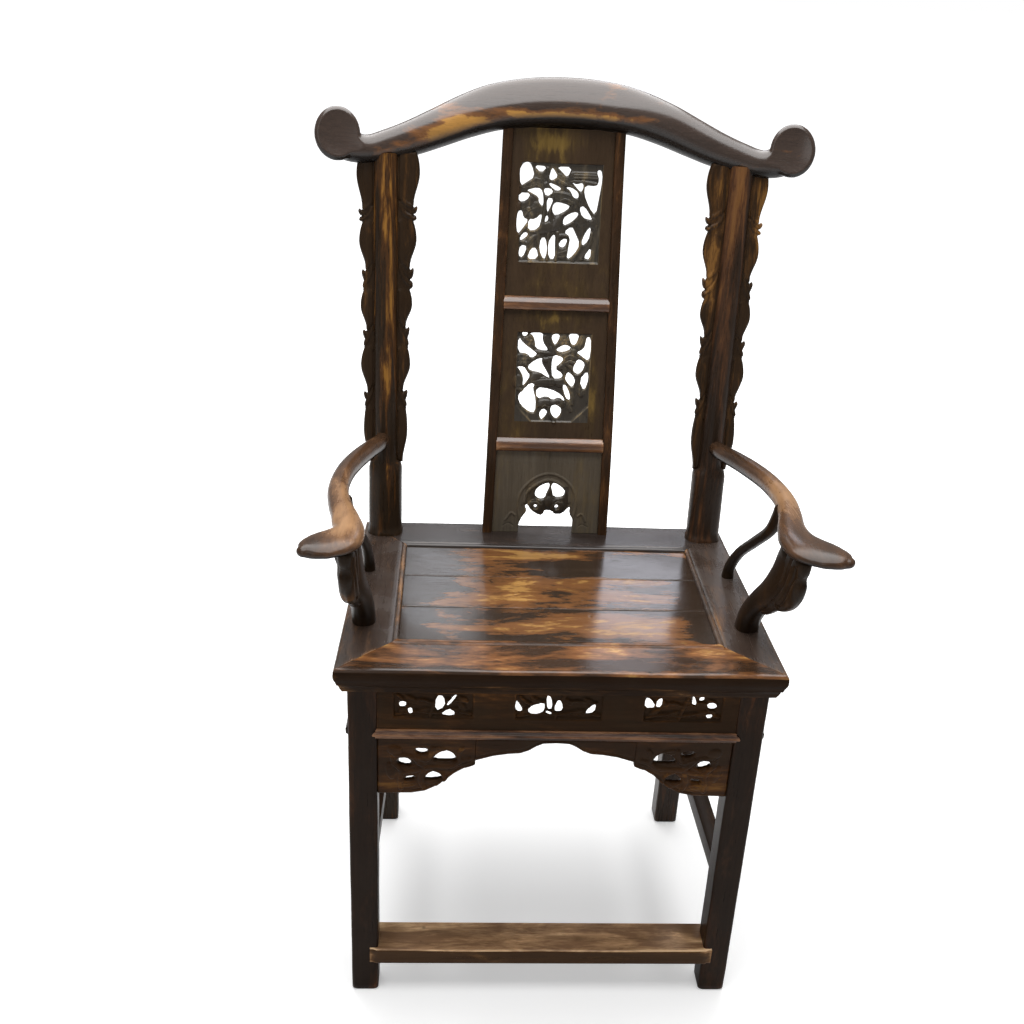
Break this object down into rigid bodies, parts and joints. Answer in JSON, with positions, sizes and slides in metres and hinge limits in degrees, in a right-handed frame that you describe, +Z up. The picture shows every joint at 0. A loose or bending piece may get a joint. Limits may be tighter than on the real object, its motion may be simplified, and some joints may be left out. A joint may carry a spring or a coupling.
{
  "type": "yoke back armchair",
  "caption": "High yoke-back wooden armchair with pierced carved splat, scalloped post wings, curved arms with paddle hand rests, board seat and footrest bar.",
  "frame": {"origin": "on the floor, at the middle of the part's outline seen from above, close under the middle of the seat", "axes": "+Z up; the chair faces -Y, so +Y points to its back; +X to the right of someone who looks at its front"},
  "size_m": [0.6606, 0.5586, 1.185],
  "materials": {
    "dark_lacquer": "dark brown lacquer, glossy, rubbed through on the edges",
    "carved_lacquer": "dark brown lacquer over carved wood, dust in the hollows",
    "seat_lacquer": "glossy dark lacquer worn through to honey brown wood in streaks",
    "footrest_lacquer": "dark lacquer worn to brown wood by feet",
    "rubbed_wood": "hand-polished tan wood, lacquer nearly worn away",
    "bare_wood": "unfinished wood"
  },
  "bodies": {
    "root": {"apron_back": "dark_lacquer", "apron_front_bracket_left": "carved_lacquer", "apron_front_bracket_right": "carved_lacquer", "apron_front_centre": "carved_lacquer", "apron_left": "dark_lacquer", "apron_right": "dark_lacquer", "arm_front_post_left": "dark_lacquer", "arm_front_post_right": "dark_lacquer", "arm_front_wing_left": "carved_lacquer", "arm_front_wing_right": "carved_lacquer", "arm_left": "rubbed_wood", "arm_right": "rubbed_wood", "arm_side_post_left": "dark_lacquer", "arm_side_post_right": "dark_lacquer", "back_stretcher": "dark_lacquer", "crest_rail": "dark_lacquer", "footrest": "footrest_lacquer", "front_leg_left": "dark_lacquer", "front_leg_right": "dark_lacquer", "post_wing_inner_left": "carved_lacquer", "post_wing_inner_right": "carved_lacquer", "post_wing_outer_left": "carved_lacquer", "post_wing_outer_right": "carved_lacquer", "rear_post_left": "dark_lacquer", "rear_post_right": "dark_lacquer", "seat_batten_left": "bare_wood", "seat_batten_right": "bare_wood", "seat_board_front": "seat_lacquer", "seat_board_middle": "seat_lacquer", "seat_board_rear": "seat_lacquer", "seat_rail_back": "seat_lacquer", "seat_rail_front": "seat_lacquer", "seat_rail_left": "seat_lacquer", "seat_rail_right": "seat_lacquer", "side_stretcher_left": "dark_lacquer", "side_stretcher_right": "dark_lacquer", "splat_bottom_panel": "carved_lacquer", "splat_lower_bar": "dark_lacquer", "splat_middle_panel": "carved_lacquer", "splat_stile_left": "dark_lacquer", "splat_stile_right": "dark_lacquer", "splat_top_panel": "carved_lacquer", "splat_upper_bar": "dark_lacquer", "under_rail_back": "dark_lacquer", "under_rail_front": "dark_lacquer", "under_rail_left": "dark_lacquer", "under_rail_right": "dark_lacquer", "waist_back": "dark_lacquer", "waist_front": "carved_lacquer", "waist_left": "dark_lacquer", "waist_right": "dark_lacquer"}
  },
  "joints": []
}
